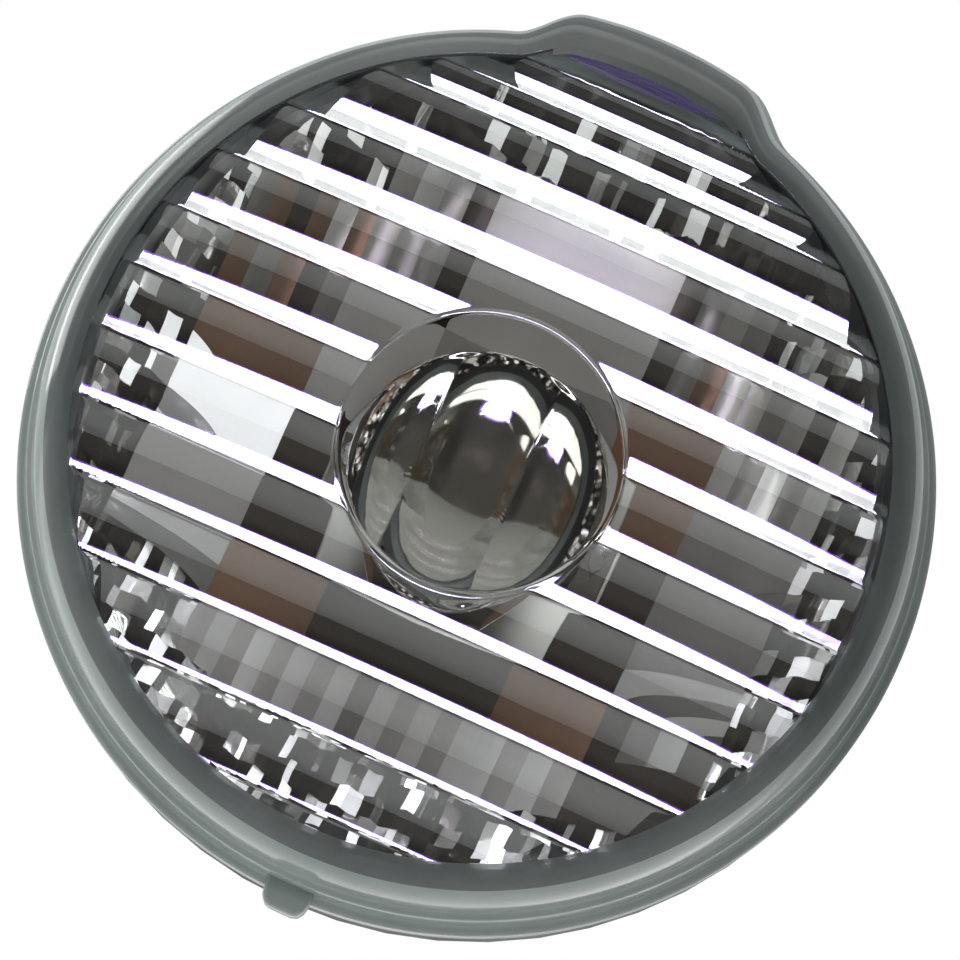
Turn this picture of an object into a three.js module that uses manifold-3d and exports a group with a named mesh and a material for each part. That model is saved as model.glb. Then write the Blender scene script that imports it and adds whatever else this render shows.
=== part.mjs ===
import * as THREE from 'three';
import { mergeVertices } from 'three/addons/utils/BufferGeometryUtils.js';
import Module from 'manifold-3d';

// Round front fog light on a moulded bracket. Millimetres, +Z up, lamp faces -Y.
// Origin: rear mounting face of the bracket, midway between its two bolt holes.

const YF = -48;               // row y of the lens flange's front face (lamp depth 0)
const ZA = -49;               // row z of the optical axis
const FLANGE_R = 54;          // outer radius of the lens flange
const LENS_FRONT = -19;       // depth of the lens crown
const LENS_WALL = 3.0;        // lens thickness between flutes
const DOME_RISE = 3.1;        // how far the lens face falls back at radius 46
const FLUTE_PITCH = 8.25;     // pitch of the horizontal lens flutes
const FLUTE_DEPTH = 0.5;
const CLEAR_R = 16.4;         // flute-free zone at the centre of the lens
const LOBE_OUT = 3.3;         // top lobe beyond the flange circle
const FOCUS = 21;             // focal length of the reflector
const NECK_Y = 24;            // depth of the reflector's flat neck
const NECK_R = 18.5;
const RIM_R = 46.8;           // reflector rim radius
const REFL_T = 1.3;
const WALL_Y = 33;            // depth of the housing's bulb seat
const BULB_BORE = 10.3;
const SHIELD_R = 15.4;
const PIVOT_Y = 24;           // depth of the tilt pivots
const PIVOT_ARM_X = 41.2;     // inner face of the bracket arms
const ARM_T = 3.5;
const BALL_Z = 40;            // adjuster height above the optical axis
const SCREW_R = 2.75;
const BOLT_X = 18;            // mounting bolt holes, either side of the origin
const BOLT_R = 5.3;
const PLATE_T = 3;

const wasm = await Module();
wasm.setup();

const group = new THREE.Group();
group.name = 'fog_light';

// ---- solids -------------------------------------------------------------

function clean(geo) {
  let g = geo.clone();
  g.deleteAttribute('normal');
  g.deleteAttribute('uv');
  g = mergeVertices(g, 1e-4);
  const idx = g.index.array;
  const pos = g.attributes.position.array;
  const tris = [];
  let vol = 0;
  for (let i = 0; i < idx.length; i += 3) {
    const [a, b, c] = [idx[i], idx[i + 1], idx[i + 2]];
    if (a === b || b === c || a === c) continue;
    tris.push(a, b, c);
    const [ax, ay, az] = [pos[3 * a], pos[3 * a + 1], pos[3 * a + 2]];
    const [bx, by, bz] = [pos[3 * b], pos[3 * b + 1], pos[3 * b + 2]];
    const [cx, cy, cz] = [pos[3 * c], pos[3 * c + 1], pos[3 * c + 2]];
    vol += ax * (by * cz - bz * cy) + ay * (bz * cx - bx * cz) + az * (bx * cy - by * cx);
  }
  if (vol < 0) {
    for (let i = 0; i < tris.length; i += 3) {
      const t = tris[i];
      tris[i] = tris[i + 1];
      tris[i + 1] = t;
    }
  }
  const out = new THREE.BufferGeometry();
  out.setAttribute('position', new THREE.BufferAttribute(new Float32Array(pos), 3));
  out.setIndex(tris);
  out.computeVertexNormals();
  return out;
}

function toMan(geo) {
  const g = clean(geo);
  return new wasm.Manifold(new wasm.Mesh({
    numProp: 3,
    vertProperties: new Float32Array(g.attributes.position.array),
    triVerts: new Uint32Array(g.index.array),
  }));
}

function fromMan(m) {
  const mesh = m.getMesh();
  const g = new THREE.BufferGeometry();
  const n = mesh.numProp;
  const verts = mesh.vertProperties.length / n;
  const pos = new Float32Array(verts * 3);
  for (let i = 0; i < verts; i++) {
    pos[3 * i] = mesh.vertProperties[n * i];
    pos[3 * i + 1] = mesh.vertProperties[n * i + 1];
    pos[3 * i + 2] = mesh.vertProperties[n * i + 2];
  }
  g.setAttribute('position', new THREE.BufferAttribute(pos, 3));
  g.setIndex(Array.from(mesh.triVerts));
  g.computeVertexNormals();
  return g;
}

function join(first, ...rest) {
  let m = toMan(first);
  for (const r of rest) m = m.add(toMan(r));
  return fromMan(m);
}

function cut(first, ...rest) {
  let m = toMan(first);
  for (const r of rest) m = m.subtract(toMan(r));
  return fromMan(m);
}

// All shapes below are written in lamp depth (y from the flange front, + to the
// rear) and height above the optical axis; place() moves them to the row frame.
function place(geo) {
  return geo.clone().translate(0, YF, ZA);
}

function turned(profile, segments = 48) {
  return clean(new THREE.LatheGeometry(profile.map(([r, y]) => new THREE.Vector2(r, y)), segments));
}

function ring(rIn, rOut, y0, y1, segments = 40) {
  return turned([[rIn, y0], [rOut, y0], [rOut, y1], [rIn, y1], [rIn, y0]], segments);
}

function rodY(r, y0, y1, x = 0, z = 0, segments = 28) {
  return clean(new THREE.CylinderGeometry(r, r, y1 - y0, segments).translate(x, (y0 + y1) / 2, z));
}

function rodX(r, x0, x1, y = 0, z = 0, segments = 28) {
  return clean(new THREE.CylinderGeometry(r, r, Math.abs(x1 - x0), segments)
    .rotateZ(Math.PI / 2).translate((x0 + x1) / 2, y, z));
}

function box(x0, x1, y0, y1, z0, z1) {
  return clean(new THREE.BoxGeometry(Math.abs(x1 - x0), y1 - y0, z1 - z0)
    .translate((x0 + x1) / 2, (y0 + y1) / 2, (z0 + z1) / 2));
}

// Prism of a plan shape in (x, z), from depth y0 to y1.
function prismY(points, y0, y1, bevel = 0) {
  const s = new THREE.Shape(points.map(([x, z]) => new THREE.Vector2(x, z)));
  const g = new THREE.ExtrudeGeometry(s, bevel > 0
    ? { depth: y1 - y0 - 2 * bevel, bevelEnabled: true, bevelThickness: bevel, bevelSize: bevel, bevelOffset: -bevel, bevelSegments: 1 }
    : { depth: y1 - y0, bevelEnabled: false });
  g.rotateX(Math.PI / 2);
  g.translate(0, y1 - bevel, 0);
  return clean(g);
}

// Prism of a shape in (y, z), across x0..x1.
function prismX(points, x0, x1) {
  const s = new THREE.Shape(points.map(([y, z]) => new THREE.Vector2(y, z)));
  const g = new THREE.ExtrudeGeometry(s, { depth: x1 - x0, bevelEnabled: false });
  const m = new THREE.Matrix4().makeBasis(
    new THREE.Vector3(0, 1, 0), new THREE.Vector3(0, 0, 1), new THREE.Vector3(1, 0, 0));
  g.applyMatrix4(m);
  g.translate(x0, 0, 0);
  return clean(g);
}

// Skin over equal-length loops of points, closed at both ends.
function loft(loops) {
  const n = loops[0].length;
  const pos = [];
  const idx = [];
  for (const l of loops) for (const p of l) pos.push(p[0], p[1], p[2]);
  for (let k = 0; k + 1 < loops.length; k++) {
    for (let i = 0; i < n; i++) {
      const a = k * n + i;
      const b = k * n + ((i + 1) % n);
      idx.push(a, b, b + n, a, b + n, a + n);
    }
  }
  const last = (loops.length - 1) * n;
  for (let i = 1; i + 1 < n; i++) {
    idx.push(0, i + 1, i);
    idx.push(last, last + i, last + i + 1);
  }
  const g = new THREE.BufferGeometry();
  g.setAttribute('position', new THREE.Float32BufferAttribute(pos, 3));
  g.setIndex(idx);
  return clean(g);
}

function add(name, geo, colour, roughness, metalness, extra = {}) {
  const m = new THREE.Mesh(place(geo), new THREE.MeshStandardMaterial({
    color: new THREE.Color(colour[0], colour[1], colour[2]), roughness, metalness, ...extra,
  }));
  m.name = name;
  group.add(m);
  return m;
}

const CLEAR = [0.70, 0.75, 0.73];
const CHROME = [0.80, 0.80, 0.79];
const BLACK = [0.035, 0.035, 0.037];
const NYLON = [0.055, 0.055, 0.058];
const WHITE_NYLON = [0.72, 0.71, 0.67];
const ZINC = [0.58, 0.57, 0.53];
const RUBBER = [0.02, 0.02, 0.02];

const dome = (r) => DOME_RISE * (r / 46) ** 2;

// ---- lens ---------------------------------------------------------------
{
  const crest = LENS_FRONT + LENS_WALL + FLUTE_DEPTH;
  const profile = [
    [0, LENS_FRONT], [17, LENS_FRONT + dome(17)],
    [32, LENS_FRONT + dome(32)], [47.3, LENS_FRONT + dome(47.3)],
    [49.2, -14.95], [50.5, -13.3], [51.3, -11.0], [51.6, -8.6],
    [51.8, -5.3], [52.7, -4.8], [52.8, -0.7], [FLANGE_R - 0.3, -0.4], [FLANGE_R, 0], [FLANGE_R, 3],
    [52.0, 3], [52.0, 6.5], [50.3, 6.5], [50.0, 0], [49.4, -6], [49.1, -10.0],
    [48.4, -12.0], [47.2, crest + dome(47.2) + 0.1],
    [32, crest + dome(32)], [17, crest + dome(17)], [0, crest],
  ];
  const body = turned(profile, 56);
  const p = body.attributes.position;
  for (let i = 0; i < p.count; i++) {
    const x = p.getX(i);
    const z = p.getZ(i);
    const r = Math.hypot(x, z);
    const y = p.getY(i);
    if (r < 47.5 || y > 2.9 && r < 53 || y > -13 && r < 51) continue;
    const a = Math.abs(Math.atan2(x, z)) * 180 / Math.PI;
    const side = a < 11 ? 1 : a > 19 ? 0 : 0.5 + 0.5 * Math.cos((a - 11) / 8 * Math.PI);
    const w = Math.min(1, (r - 47.5) / 2.5);
    const k = (r + LOBE_OUT * side * w) / r;
    p.setX(i, x * k);
    p.setZ(i, z * k);
  }
  const nub = prismY([[-2.9, -53], [-2.5, -55.4], [-1.7, -56], [1.7, -56], [2.5, -55.4], [2.9, -53]], -1.6, 3);
  const grooves = [];
  const xs = [-1, -0.6, 0, 0.6, 1];
  for (let k = -6; k < 6; k++) {
    const z = (k + 0.5) * FLUTE_PITCH;
    if (Math.abs(z) > 42) continue;
    const half = Math.sqrt(46.6 ** 2 - z ** 2);
    grooves.push(loft(xs.map((t) => {
      const x = t * half;
      const y = crest + dome(Math.hypot(x, z));
      return [[x, y - FLUTE_DEPTH + 0.05, z], [x, y + 0.7, z + 2.7], [x, y + 0.7, z - 2.7]];
    })));
  }
  // the topmost flutes are half as wide
  const top = 5 * FLUTE_PITCH;
  grooves.push(loft(xs.map((t) => {
    const x = t * 21;
    const y = crest + dome(Math.hypot(x, top));
    return [[x, y - FLUTE_DEPTH * 0.5, top], [x, y + 0.7, top + 2.3], [x, y + 0.7, top - 2.3]];
  })));
  const clearZone = turned([
    [0, crest - FLUTE_DEPTH], [CLEAR_R * 0.5, crest - FLUTE_DEPTH + dome(CLEAR_R * 0.5)],
    [CLEAR_R, crest - FLUTE_DEPTH + dome(CLEAR_R)], [CLEAR_R, crest + 3], [0, crest + 3]], 36);
  const lens = cut(join(body, nub), clearZone, ...grooves);
  add('lens', lens, CLEAR, 0.06, 0.0, { transparent: true, opacity: 0.42 });
}
add('lens_seal', ring(50.2, 52.05, 6.8, 8.7, 44), [0.05, 0.05, 0.05], 0.8, 0);

// ---- reflector ----------------------------------------------------------
{
  const apex = NECK_Y + NECK_R ** 2 / (4 * FOCUS);
  const depth = (r) => apex - r * r / (4 * FOCUS);
  const rs = [NECK_R, 22, 26, 30, 34, 38, 42, RIM_R];
  const inner = rs.map((r) => [r, depth(r)]);
  const outer = rs.map((r) => {
    const slope = r / (2 * FOCUS);
    const n = Math.hypot(slope, 1);
    return [r + REFL_T * slope / n + 0.2, depth(r) + REFL_T / n + 0.4];
  }).reverse();
  const profile = [
    [BULB_BORE + 0.5, NECK_Y], ...inner, [47.2, -5.5], [48.3, -5.5], [48.3, depth(RIM_R) + 1.2],
    ...outer.slice(1), [NECK_R + 0.6, NECK_Y + 2], [BULB_BORE + 0.5, NECK_Y + 2], [BULB_BORE + 0.5, NECK_Y],
  ];
  const refl = cut(turned(profile, 48),
    rodY(1.5, NECK_Y - 2, NECK_Y + 4, -16.2, 0, 14), rodY(1.5, NECK_Y - 2, NECK_Y + 4, 16.2, 0, 14));
  add('reflector', refl, CHROME, 0.12, 1.0);
}

// ---- bulb shield --------------------------------------------------------
{
  const cup = turned([
    [0, -4.0], [6, -3.6], [10, -2.5], [13.0, -0.8], [14.8, 0.8], [SHIELD_R, 1.8], [SHIELD_R, 9.5],
    [SHIELD_R - 0.8, 9.5], [SHIELD_R - 0.8, 2.4], [13.9, 1.2], [12.4, 0.05], [9.6, -1.7], [5.8, -2.7], [0, -3.15],
  ], 32);
  const leg = (s) => {
    const a = s > 0 ? [13.25, 14.05] : [-14.05, -13.25];
    const f = s > 0 ? [13.25, 18.0] : [-18.0, -13.25];
    const e = s > 0 ? [13.25, 15.0] : [-15.0, -13.25];
    return [box(e[0], e[1], 8.7, 9.5, -2.6, 2.6), box(a[0], a[1], 8.7, NECK_Y - 0.3, -2.6, 2.6), box(f[0], f[1], NECK_Y - 1.1, NECK_Y - 0.3, -2.6, 2.6)];
  };
  const shield = cut(join(cup, ...leg(1), ...leg(-1)),
    rodY(1.5, NECK_Y - 3, NECK_Y + 1, -16.2, 0, 14), rodY(1.5, NECK_Y - 3, NECK_Y + 1, 16.2, 0, 14));
  add('bulb_shield', shield, CHROME, 0.15, 1.0);
  for (const [n, x] of [['left', -16.2], ['right', 16.2]]) {
    const rivet = turned([
      [0, NECK_Y - 2.5], [1.4, NECK_Y - 2.2], [1.9, NECK_Y - 1.4], [1.2, NECK_Y - 1.4], [1.2, NECK_Y + 2.3],
      [1.7, NECK_Y + 2.3], [1.5, NECK_Y + 2.9], [0, NECK_Y + 3.0]], 16).translate(x, 0, 0);
    add('shield_rivet_' + n, rivet, ZINC, 0.35, 1.0);
  }
}

// ---- housing ------------------------------------------------------------
{
  const outline = [
    [53.7, 3.4], [53.7, 9.8], [52.9, 10.9], [48.0, 12.2], [42, 14.2], [36, 18.2], [30, 24.2],
    [25, 29.4], [21.5, 32], [20.5, WALL_Y],
  ];
  const cavityLine = [
    [19.0, WALL_Y - 3], [23.2, 27.3], [28, 22.6], [34, 16.9], [39.8, 12.9], [46.5, 10.6], [48.7, 10.0],
  ];
  const outer = turned([[0, 3.4], ...outline, [0, WALL_Y]], 56);
  const cavity = turned([[0, -2], [48.7, -2], ...[...cavityLine].reverse(), [0, WALL_Y - 3]], 56);
  const channel = ring(49.9, 52.35, 2, 9.0, 56);
  const lipTrim = ring(40, 50.5, 2, 4.2, 56);
  const cheek = (s) => s > 0 ? box(7.3, 9.8, 20, 28, 20, 47.5) : box(-9.8, -7.3, 20, 28, 20, 47.5);
  const tube = [-22, 22];
  const ribs = [];
  for (const a of [50, 90, 130, 230, 270, 310]) {
    if (a === 90 || a === 270) continue;
    const rib = prismX([[11, 30], [11, 51.5], [13.2, 51.5], [19.5, 39], [31.8, 25], [31.8, 20]], -0.9, 0.9)
      .rotateY(-(a - 90) * Math.PI / 180);
    ribs.push(rib);
  }
  let m = toMan(join(outer,
    rodX(6.3, 26, 40.5, PIVOT_Y, 0, 32), rodX(6.3, -40.5, -26, PIVOT_Y, 0, 32),
    cheek(1), cheek(-1), rodY(4.0, 20, 34.0, tube[0], tube[1], 20),
    box(-1, 1, 12, 27, 20, 32.6), ...ribs));
  m = m.subtract(toMan(cavity)).subtract(toMan(channel)).subtract(toMan(lipTrim));
  m = m.subtract(toMan(rodX(2.75, 32, 42, PIVOT_Y, 0, 20))).subtract(toMan(rodX(2.75, -42, -32, PIVOT_Y, 0, 20)));
  m = m.subtract(toMan(rodX(1.4, -12, 12, PIVOT_Y, 44.8, 14)));
  m = m.subtract(toMan(rodY(2.0, 16, 40, tube[0], tube[1], 14)));
  m = m.subtract(toMan(rodY(BULB_BORE, 20, 40, 0, 0, 40)));
  for (const a of [30, 150, 270]) {
    const notch = box(-2.9, 2.9, 28, 36, 8, 12.2).rotateY(a * Math.PI / 180);
    m = m.subtract(toMan(notch));
  }
  add('housing', fromMan(m), BLACK, 0.55, 0);
  const cap = turned([
    [4.3, 31.0], [5.6, 31.0], [5.9, 31.6], [5.9, 36.2], [5.2, 37.0], [0, 37.0],
    [0, 35.4], [4.3, 35.4], [4.3, 31.0]], 24).translate(tube[0], 0, tube[1]);
  add('vent_cap', cap, RUBBER, 0.85, 0);
}

// ---- bracket ------------------------------------------------------------
{
  const REAR = -YF;
  const half = [
    [0, 57], [17, 57], [21, 56.2], [24.2, 54], [26, 50.5], [27.2, 44.5], [33, 36], [41.5, 24.5], [44.7, 15],
    [44.7, -12], [43.5, -15.2], [40.5, -17], [37.5, -17], [34.4, -15.4], [33.2, -12], [33.2, 9],
    [30, 19], [24, 26.4], [16, 30.6], [8, 32], [0, 32],
  ];
  const plan = [...half, ...half.slice(1, -1).reverse().map(([x, z]) => [-x, z])];
  const plate = prismY(plan, REAR - PLATE_T, REAR, 0.5);
  const armShape = [];
  for (let i = 0; i <= 12; i++) {
    const a = Math.PI / 2 + Math.PI * i / 12;
    armShape.push([PIVOT_Y + 7.4 * Math.cos(a), 7.4 * Math.sin(a)]);
  }
  armShape.push([REAR - 8, -11], [REAR - 0.6, -15], [REAR - 0.6, 15], [REAR - 8, 11]);
  const arm = (s) => s > 0 ? prismX(armShape, PIVOT_ARM_X, PIVOT_ARM_X + ARM_T)
    : prismX(armShape, -PIVOT_ARM_X - ARM_T, -PIVOT_ARM_X);
  const gusset = (s, z) => {
    const pts = [[s * 33.8, REAR - 2], [s * 41.6, REAR - 2], [s * 41.6, REAR - 16]];
    const g = new THREE.ExtrudeGeometry(new THREE.Shape(pts.map(([x, y]) => new THREE.Vector2(x, y))), { depth: 1.8, bevelEnabled: false });
    return clean(g.translate(0, 0, z - 0.9));
  };
  const pieces = [arm(1), arm(-1),
    rodY(8, REAR - 8, REAR - 0.5, 0, BALL_Z, 32),
    rodY(7.6, REAR - 5, REAR - 0.5, BOLT_X, 49, 28), rodY(7.6, REAR - 5, REAR - 0.5, -BOLT_X, 49, 28),
    box(-19, 19, REAR - 5.5, REAR - 1, 54.2, 56),
    box(-22, 22, REAR - 5.5, REAR - 1, 33.2, 35)];
  for (const s of [1, -1]) {
    pieces.push(gusset(s, 8), gusset(s, -8));
    pieces.push(prismY([[s * 20, 46], [s * 21.4, 47.3], [s * 39.5, 23.3], [s * 38.1, 22]].map(([x, z]) => [x, z - 3]), REAR - 5.5, REAR - 1));
  }
  let m = toMan(join(plate, ...pieces));
  const holes = [
    rodX(4.2, 38, 48, PIVOT_Y, 0, 28), rodX(4.2, -48, -38, PIVOT_Y, 0, 28),
    rodY(BOLT_R, REAR - 12, REAR + 4, BOLT_X, 49, 28), rodY(BOLT_R, REAR - 12, REAR + 4, -BOLT_X, 49, 28),
    rodY(3.1, REAR - 12, REAR + 4, 0, BALL_Z, 24), rodY(5.4, REAR - 4.6, REAR + 4, 0, BALL_Z, 28),
  ];
  for (const h of holes) m = m.subtract(toMan(h));
  add('mounting_bracket', fromMan(m), NYLON, 0.6, 0);

  for (const [n, s] of [['left', -1], ['right', 1]]) {
    const sleeve = ring(3.3, 5.0, REAR - 5.2, REAR, 28).translate(s * BOLT_X, 0, 49);
    add('bracket_sleeve_' + n, sleeve, ZINC, 0.4, 1);
    // bush, flanged against the boss
    const bush = clean(turned([[2.7, 40.8], [5.4, 40.8], [5.4, 41.0], [3.9, 41.0], [3.9, 44.9], [2.7, 44.9], [2.7, 40.8]], 28)
      .rotateZ(-Math.PI / 2).scale(s, 1, 1).translate(0, PIVOT_Y, 0));
    add('pivot_bush_' + n, bush, WHITE_NYLON, 0.5, 0);
    const shankHead = turned([
      [0, 33], [2.0, 33], [2.4, 33.6], [2.4, 45.3], [4.7, 45.3], [4.7, 46.6], [3.9, 47.6], [2.0, 48.0], [0, 48.0]], 28)
      .rotateZ(-Math.PI / 2).scale(s, 1, 1).translate(0, PIVOT_Y, 0);
    const slotA = s > 0 ? box(46.6, 49, PIVOT_Y - 2.6, PIVOT_Y + 2.6, -0.55, 0.55) : box(-49, -46.6, PIVOT_Y - 2.6, PIVOT_Y + 2.6, -0.55, 0.55);
    const slotB = s > 0 ? box(46.6, 49, PIVOT_Y - 0.55, PIVOT_Y + 0.55, -2.6, 2.6) : box(-49, -46.6, PIVOT_Y - 0.55, PIVOT_Y + 0.55, -2.6, 2.6);
    add('pivot_screw_' + n, cut(clean(shankHead), slotA, slotB), ZINC, 0.35, 1);
  }
}

// ---- adjuster -----------------------------------------------------------
{
  const REAR = -YF;
  const screw = turned([
    [0, 20.6], [1.9, 20.6], [SCREW_R, 21.6], [SCREW_R, 43.7], [4.7, 43.7], [4.9, 44.2], [4.9, 47.2], [4.5, 47.6], [0, 47.6],
  ], 28).translate(0, 0, BALL_Z);
  const hex = clean(new THREE.CylinderGeometry(2.9, 2.9, 4, 6).translate(0, REAR - 0.6, BALL_Z));
  add('adjuster_screw', cut(screw, hex), ZINC, 0.35, 1);
  add('adjuster_clip', ring(SCREW_R + 0.3, 6.0, REAR - 9.3, REAR - 8.4, 24).translate(0, 0, BALL_Z), ZINC, 0.4, 1);

  const ball = clean(new THREE.SphereGeometry(4.5, 20, 12).rotateX(Math.PI / 2).translate(0, PIVOT_Y, BALL_Z));
  const nut = cut(join(ball, box(-6.3, 6.3, PIVOT_Y - 1.6, PIVOT_Y + 1.6, BALL_Z - 1.1, BALL_Z + 1.1)),
    rodY(SCREW_R + 0.3, PIVOT_Y - 8, PIVOT_Y + 8, 0, BALL_Z, 28));
  add('adjuster_ball_nut', nut, WHITE_NYLON, 0.5, 0);

  const pocket = clean(new THREE.SphereGeometry(4.95, 20, 12).rotateX(Math.PI / 2).translate(0, PIVOT_Y, BALL_Z));
  const socket = cut(
    join(box(-7.0, 7.0, 21, 27, 33.8, 46.4), rodX(1.0, -8.9, 8.9, PIVOT_Y, 44.8 + 0.0, 14)),
    box(-5.2, 5.2, 20, 28, 45.6, 48), pocket,
    rodY(3.9, 18, 30, 0, BALL_Z, 28),
    box(-6.75, 6.75, PIVOT_Y - 2.1, 28, BALL_Z - 1.6, BALL_Z + 1.6));
  add('ball_socket', socket, [0.60, 0.60, 0.58], 0.5, 0);
}

// ---- bulb ---------------------------------------------------------------
{
  const hub = turned([[0, 26.8], [8.8, 26.8], [9.8, 27.6], [9.8, 34.6], [14, 34.6], [14.3, 35.0], [14.3, 36.6], [14, 37.0], [0, 37.0]], 40);
  const lugs = [30, 150, 270].map((a) => box(-2.5, 2.5, 27.2, 29.6, 7, 11.8).rotateY((a + 60) * Math.PI / 180));
  const body = prismY([[-7, 10], [-8.2, 8.5], [-8.2, -24], [8.2, -24], [8.2, 8.5], [7, 10]], 36.5, 46.4, 0.6);
  const latch = box(-2.2, 2.2, 46, 46.9, -21, -15);
  const grips = [box(-14, -8, 36.8, 40.5, -1.2, 1.2), box(8, 14, 36.8, 40.5, -1.2, 1.2)];
  const base = cut(join(hub, ...lugs, body, latch, ...grips),
    box(-6.6, 6.6, 38.2, 45.0, -26, -9.5),
    rodY(7.9, 20, 30.2, 0, 0, 36),
    box(-3.45, -1.95, 40.0, 43.4, -12, -7.0), box(1.95, 3.45, 40.0, 43.4, -12, -7.0));
  add('bulb_base', base, [0.09, 0.09, 0.1], 0.5, 0);
  add('bulb_o_ring', turned([[10.1, 33.4], [12.0, 33.4], [12.6, 33.8], [12.0, 34.3], [10.1, 34.3], [10.1, 33.4]], 36), [0.35, 0.09, 0.05], 0.7, 0);
  const collar = turned([[6.4, 21.5], [7.0, 21.5], [7.6, 22.6], [7.6, 29.9], [6.4, 29.9], [6.4, 21.5]], 32);
  add('bulb_collar', collar, [0.66, 0.65, 0.62], 0.3, 1);
  const glass = turned([
    [0, -0.6], [2.6, -0.1], [4.6, 1.2], [5.7, 3.2], [6.0, 5.2], [6.0, 29.5], [5.2, 29.5], [5.2, 5.2],
    [4.9, 3.6], [4.0, 2.0], [2.2, 0.9], [0, 0.5]], 28);
  add('bulb_glass', glass, [0.9, 0.92, 0.93], 0.03, 0, { transparent: true, opacity: 0.35 });
  // coil along the axis: a stout rod stands for the wound wire
  add('bulb_filament', rodX(0.75, -2.6, 2.6, 8.0, 0, 14), [0.5, 0.5, 0.48], 0.4, 1);
  for (const [n, s] of [['left', -1], ['right', 1]]) {
    const lead = join(
      rodX(0.3, s * 2.95, s * 3.6, 8.0, 0, 10),
      rodY(0.3, 7.7, 30.0, s * 3.3, 0, 10));
    add('filament_lead_' + n, lead, [0.6, 0.6, 0.58], 0.35, 1);
    const blade = box(s > 0 ? 2.3 : -3.1, s > 0 ? 3.1 : -2.3, 40.3, 43.1, -18.5, -7.4);
    add('terminal_' + n, blade, [0.72, 0.66, 0.5], 0.3, 1);
  }
}

export default group;
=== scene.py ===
import math
import random

import bpy
import bmesh
import numpy as np
from mathutils import Matrix, Vector

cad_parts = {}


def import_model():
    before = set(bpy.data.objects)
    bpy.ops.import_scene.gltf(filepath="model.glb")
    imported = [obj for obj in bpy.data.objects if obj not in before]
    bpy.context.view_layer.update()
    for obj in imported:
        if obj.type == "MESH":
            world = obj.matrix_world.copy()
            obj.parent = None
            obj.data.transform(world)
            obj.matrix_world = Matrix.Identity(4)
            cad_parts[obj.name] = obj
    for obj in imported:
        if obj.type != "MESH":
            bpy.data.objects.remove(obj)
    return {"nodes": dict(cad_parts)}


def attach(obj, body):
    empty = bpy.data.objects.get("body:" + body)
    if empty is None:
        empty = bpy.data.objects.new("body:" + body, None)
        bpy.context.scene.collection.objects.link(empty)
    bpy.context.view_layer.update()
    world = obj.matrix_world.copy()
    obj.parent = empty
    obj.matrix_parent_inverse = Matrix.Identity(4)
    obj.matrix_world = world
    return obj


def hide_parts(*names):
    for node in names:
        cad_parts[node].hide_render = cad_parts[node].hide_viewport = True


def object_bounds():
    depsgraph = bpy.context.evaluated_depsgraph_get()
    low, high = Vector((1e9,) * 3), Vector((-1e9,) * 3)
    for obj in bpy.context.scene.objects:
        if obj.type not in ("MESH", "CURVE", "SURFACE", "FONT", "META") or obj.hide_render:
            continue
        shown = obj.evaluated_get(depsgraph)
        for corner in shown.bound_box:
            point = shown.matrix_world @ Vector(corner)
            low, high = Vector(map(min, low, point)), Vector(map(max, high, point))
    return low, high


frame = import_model()
CAD_LO, CAD_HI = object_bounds()
CAD_LO, CAD_HI = [list(map(float, v)) for v in (CAD_LO, CAD_HI)]
NODES = frame["nodes"]

# Lamp measures, in millimetres: depth y from the front of the lens flange
# (+ to the rear) and height z above the optical axis.
YF, ZA = -48.0, -49.0
LENS_FRONT = -19.0
LENS_WALL = 3.0
FLUTED_R = 47.6
DOME_RISE = 3.1
PITCH = 8.25
FLUTE_DEPTH = 0.74
CLEAR_R = 16.4
LOBE = 3.3
FOCUS = 21.0
NECK_Y = 24.0
NECK_R = 18.5
RIM_R = 46.8
APEX = NECK_Y + NECK_R ** 2 / (4 * FOCUS)

scene = bpy.context.scene


def P(x, y, z):
    return ((x) / 1000.0, (y + YF) / 1000.0, (z + ZA) / 1000.0)


def smoothstep(a, b, t):
    t = max(0.0, min(1.0, (t - a) / (b - a)))
    return t * t * (3 - 2 * t)


# ---------------------------------------------------------------- node helpers

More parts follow.
